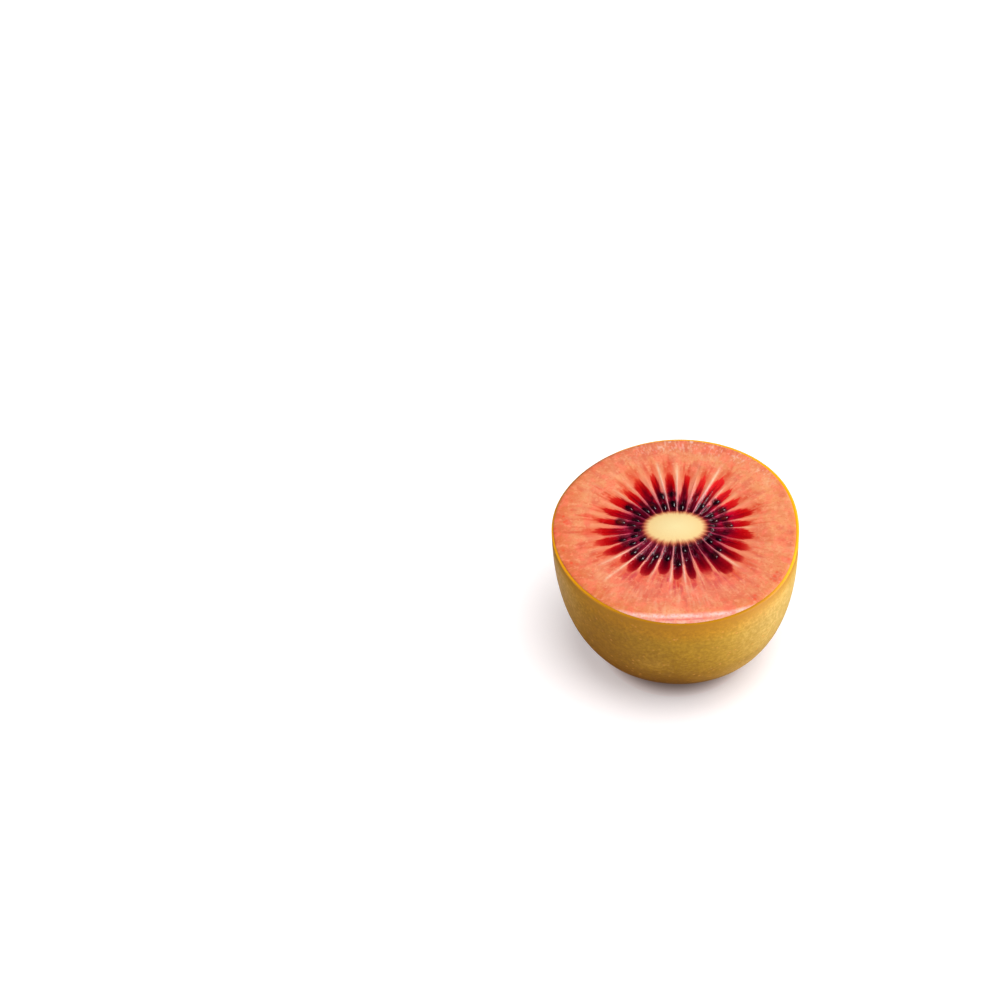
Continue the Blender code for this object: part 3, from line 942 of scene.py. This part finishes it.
def make_skin(material):
    """The skin as a thin closed shell, with its cut edge as a lip round the flesh."""
    angle = np.arange(SKIN_COLUMNS) * 360.0 / SKIN_COLUMNS
    lip = lip_width(angle)
    rim = rim_radius(angle)
    top = HALF_HEIGHT - BEVEL_DROP * facing(angle, FRONT, BEVEL_REACH)
    rings, downs, uv_radii = [], [], []

    def add(radius, height, down, uv_radius):
        rings.append(ring_points(angle, radius, height))
        downs.append(down)
        uv_radii.append(uv_radius)

    # The shell's hidden inside, then its cut edge, then the outside down to the cork
    for share in (0.9, 0.5, 0.1):
        inner = rim - lip - 0.0003 - 0.0002 * share
        add(inner, HALF_HEIGHT - 0.004 * share - 0.0005, -1.0, 0.07 - 0.05 * share)
    add(rim - lip, top - 0.0002, -0.05, 0.493)
    add(rim - lip * 0.9, top, -0.04, 0.4915)
    for step in range(5):
        turn = math.pi / 2.0 * step / 5.0
        lowered = RIM_ROUND * (1.0 - math.cos(turn))
        radius = rim - RIM_ROUND * (1.0 - math.sin(turn))
        add(radius, top - lowered, -0.02 + 0.004 * step, 0.489 - 0.001 * step)
    for row in range(SKIN_ROWS):
        down = row / (SKIN_ROWS - 1)
        radius, height = skin_surface(angle, down)
        dent = SKIN_DENT * patches(SKIN_DENTS, angle / 360.0, np.full_like(angle, down))
        inset = SKIN_INSET + dent * math.sin(math.pi * down)
        add(radius - inset, height, down, 0.484 - 0.39 * down)
    inner = (CORK_RADIUS + CREASE_WIDTH) * (1.0 + waves(angle, CORK_WAVES)) - 0.0006
    add(inner, np.full_like(angle, CORK_PROUD + 0.0012), 1.0, 0.085)

    points = np.array(rings).reshape(-1, 3)
    down = np.broadcast_to(np.array(downs)[:, None], (len(rings), SKIN_COLUMNS))
    angles = np.broadcast_to(angle[None, :], down.shape)
    clouds = smooth(0.45, 1.0, patches(SKIN_CLOUDS, angles / 360.0, down))
    # Painted sheen: where the skin is made paler at the right and along the left
    painted_sheen_right = facing(angles, 342.0, 75.0) * smooth(0.0, 0.1, down) * smooth(0.95, 0.5, down)
    painted_sheen_left = facing(angles, 186.0, 48.0) * smooth(0.0, 0.08, down) * smooth(0.62, 0.15, down)
    from_widest = np.abs((angles - LIP_WIDEST_AT + 180.0) % 360.0 - 180.0)
    lip_bright = 0.05 + 0.95 * smooth(LIP_SPREAD + 8.0, LIP_SPREAD - 27.0, from_widest)
    lip_bright = lip_bright + 0.80 * facing(angles, 200.0, 62.0)
    paint = lay(gradient(down, SKIN_TONES_AND_SHADE), (
        # Pale clouds, then painted shade and painted sheen
        ((206, 158, 74), 0.40 * clouds * smooth(0.05, 0.2, down)),
        # Browner and darker at the front left: painted shade
        ((158, 98, 2), 0.50 * facing(angles, 218.0, 60.0) * smooth(0.02, 0.2, down)),
        # Paler at the right and along the left: painted sheen
        ((218, 192, 138), 0.52 * painted_sheen_right),
        ((230, 190, 146), 0.78 * painted_sheen_left),
        # The yellow line of the cut skin
        (LIP_COLOUR, lip_bright * smooth(0.012, -0.004, down) * smooth(-0.5, -0.1, down)),
    ))
    outside = smooth(-0.01, 0.09, down) * (1.0 - 0.5 * smooth(0.35, 0.62, down))
    values = {"paint": to_linear(paint), "outside": outside}
    uv = ring_map(angle, np.array(uv_radii))
    return new_mesh("kiwi_skin", points, band_faces(len(rings), SKIN_COLUMNS), uv, values, material)


def make_seeds(material):
    sides, rings = 14, 11
    slope = np.linspace(0.0, math.pi, rings)[:, None]
    turn = (np.arange(sides) / sides * 2.0 * math.pi)[None, :]
    x = -np.cos(slope) * np.ones_like(turn)
    narrow = 1.0 + SEED_TAPER * x
    y = np.sin(slope) * np.cos(turn) * narrow
    z = np.sin(slope) * np.sin(turn) * narrow
    shape = np.stack([x * SEED_LENGTH, y * SEED_WIDTH, z * SEED_THICKNESS], axis=-1).reshape(-1, 3) / 2.0
    points, faces = [], []
    for place, direction, size in SEEDS:
        spin = np.array([
            [math.cos(direction), -math.sin(direction), 0.0],
            [math.sin(direction), math.cos(direction), 0.0],
            [0.0, 0.0, 1.0],
        ])
        faces += band_faces(rings, sides, first=len(points) * sides * rings)
        points.append(shape * size @ spin.T + place)
    points = np.concatenate(points)
    uv = np.zeros((len(points), 2))
    piece = new_mesh("kiwi_seeds", points, faces, uv, {}, material)
    piece.data.uv_layers.remove(piece.data.uv_layers["OFBake"])
    return piece


def make_cork(material):
    angle = np.arange(CORK_COLUMNS) * 360.0 / CORK_COLUMNS
    uneven = 1.0 + waves(angle, CORK_WAVES)
    rings, uv_radii = [], []

    def add(radius, height, uv_radius):
        rings.append(ring_points(angle, radius, height))
        uv_radii.append(uv_radius)

    # The crease that the skin hides, then the rounded edge, then the flat face
    add((CORK_RADIUS + CREASE_WIDTH / 2.0) * uneven * 0.9, np.full_like(angle, CORK_PROUD + 0.0010), 0.49)
    add((CORK_RADIUS + CREASE_WIDTH / 2.0) * uneven, np.full_like(angle, CORK_PROUD + CREASE_DEPTH), 0.475)
    for step, kind in enumerate(CORK_EDGES):
        turn = math.pi / 2.0 * step / 5.0
        radius = (CORK_RADIUS - CORK_ROUND * (1.0 - math.cos(turn))) * uneven
        rough = CORK_EDGE_ROUGH * (patches(kind, angle / 360.0, 0.0 * angle) - 0.5)
        add(radius + rough, np.full_like(angle, CORK_ROUND * (1.0 - math.sin(turn))), 0.46 - 0.015 * step)
    for row in range(1, 24):
        share = 1.0 - row / 24.0
        wrinkle = CORK_WRINKLE * patches(CORK_WRINKLES, angle / 360.0, np.full_like(angle, share))
        radius = (CORK_RADIUS - CORK_ROUND) * uneven * share
        add(radius, wrinkle * smooth(0.0, 0.15, 1.0 - share), 0.385 * share)
    rows = len(rings)
    centre = np.array([[0.0, 0.0, 0.0001]]) + AXIS_PLACE
    points = np.concatenate([np.array(rings).reshape(-1, 3), centre])
    faces = band_faces(rows, CORK_COLUMNS)
    last = (rows - 1) * CORK_COLUMNS
    for column in range(CORK_COLUMNS):
        faces.append([rows * CORK_COLUMNS, last + (column + 1) % CORK_COLUMNS, last + column])
    uv = np.concatenate([ring_map(angle, np.array(uv_radii)), [[0.5, 0.5]]])
    return new_mesh("kiwi_cork", points, faces, uv, {}, material)


def make_floor():
    """The white ground, which glows faintly and has a painted shadow close round the foot."""
    mesh = bpy.data.meshes.new("floor")
    corners = [(x * FLOOR_HALF, y * FLOOR_HALF, 0.0) for x, y in ((-1, -1), (1, -1), (1, 1), (-1, 1))]
    mesh.from_pydata(corners, [], [(0, 1, 2, 3)])
    shader = Shader("Floor")
    away = shader.node("ShaderNodeVectorMath", operation="LENGTH")
    shader.feed(away.inputs[0], shader.places())
    open_to_light = shader.span(away.outputs["Value"], CONTACT_NEAR, CONTACT_FAR, CONTACT_LIGHT, 1.0)
    shader.set(
        Base_Color=shader.blend(open_to_light, BLACK, FLOOR_TONE),
        Roughness=0.8,
        Specular_IOR_Level=0.1,
        Emission_Color=shader.blend(open_to_light, CONTACT_TONE, GLOW_TONE),
        Emission_Strength=shader.times(open_to_light, FLOOR_GLOW),
    )
    mesh.materials.append(shader.material)
    floor = bpy.data.objects.new("floor", mesh)
    bpy.context.scene.collection.objects.link(floor)
    floor.visible_glossy = False
    floor.visible_shadow = False


def toward(azimuth, elevation):
    turn, raised = math.radians(azimuth), math.radians(elevation)
    flat = math.cos(raised)
    return Vector((flat * math.cos(turn), flat * math.sin(turn), math.sin(raised)))


def add_light(name, kind, azimuth, elevation, power, size):
    """A far sun, which gives light but no reflection, or a near softbox, which gives only reflections."""
    data = bpy.data.lights.new(name, kind)
    data.energy = power
    light = bpy.data.objects.new(name, data)
    if kind == "SUN":
        data.angle = math.radians(size)
        light.visible_glossy = False
    else:
        data.size = size
        light.visible_diffuse = False
        light.visible_camera = False
    away = toward(azimuth, elevation) * SOFTBOX_DISTANCE
    light.location = away + Vector((0.0, 0.0, HALF_HEIGHT / 2.0))
    light.rotation_euler = away.to_track_quat("Z", "Y").to_euler()
    bpy.context.scene.collection.objects.link(light)


def make_lights():
    """White light from all round, with the wide suns that shade the fruit and the softboxes for its shine."""
    world = bpy.data.worlds.new("Studio")
    world.use_nodes = True
    background = world.node_tree.nodes["Background"]
    background.inputs["Color"].default_value = (1.0, 1.0, 1.0, 1.0)
    background.inputs["Strength"].default_value = SKY_LIGHT
    world.cycles_visibility.glossy = False
    bpy.context.scene.world = world
    for light in LIGHTS:
        add_light(*light)


def make_camera():
    """The camera looks past the fruit, so that the cut's centre falls on its pixel in the photo."""
    data = bpy.data.cameras.new("camera")
    data.sensor_width = SENSOR_MM
    pixels_away = PIXELS_PER_RADIUS * CAMERA_DISTANCE / FRUIT_RADIUS
    data.lens = SENSOR_MM * pixels_away / PHOTO_SIZE
    data.clip_start = 0.01
    data.clip_end = 20.0
    camera = bpy.data.objects.new("camera", data)
    raised = math.radians(CAMERA_ELEVATION)
    cut_centre = Vector((0.0, 0.0, HALF_HEIGHT))
    back_to_camera = Vector((0.0, -math.cos(raised), math.sin(raised)))
    right = Vector((1.0, 0.0, 0.0))
    up = Vector((0.0, math.sin(raised), math.cos(raised)))
    off_x = CUT_CENTRE_PIXEL[0] - PHOTO_SIZE / 2.0
    off_y = CUT_CENTRE_PIXEL[1] - PHOTO_SIZE / 2.0
    aim = -back_to_camera * pixels_away - right * off_x + up * off_y
    level = back_to_camera.to_track_quat("Z", "Y")
    aside = (-back_to_camera).rotation_difference(aim)
    camera.location = cut_centre + back_to_camera * CAMERA_DISTANCE
    camera.rotation_euler = (aside @ level).to_euler()
    bpy.context.scene.collection.objects.link(camera)
    bpy.context.scene.camera = camera


def main():
    bpy.context.scene.view_settings.view_transform = "Standard"
    make_camera()
    make_lights()
    make_floor()
    finish_piece(make_flesh(flesh_material()))
    finish_piece(make_skin(skin_material()))
    finish_piece(make_seeds(seed_material()))
    finish_piece(make_cork(cork_material()))


main()
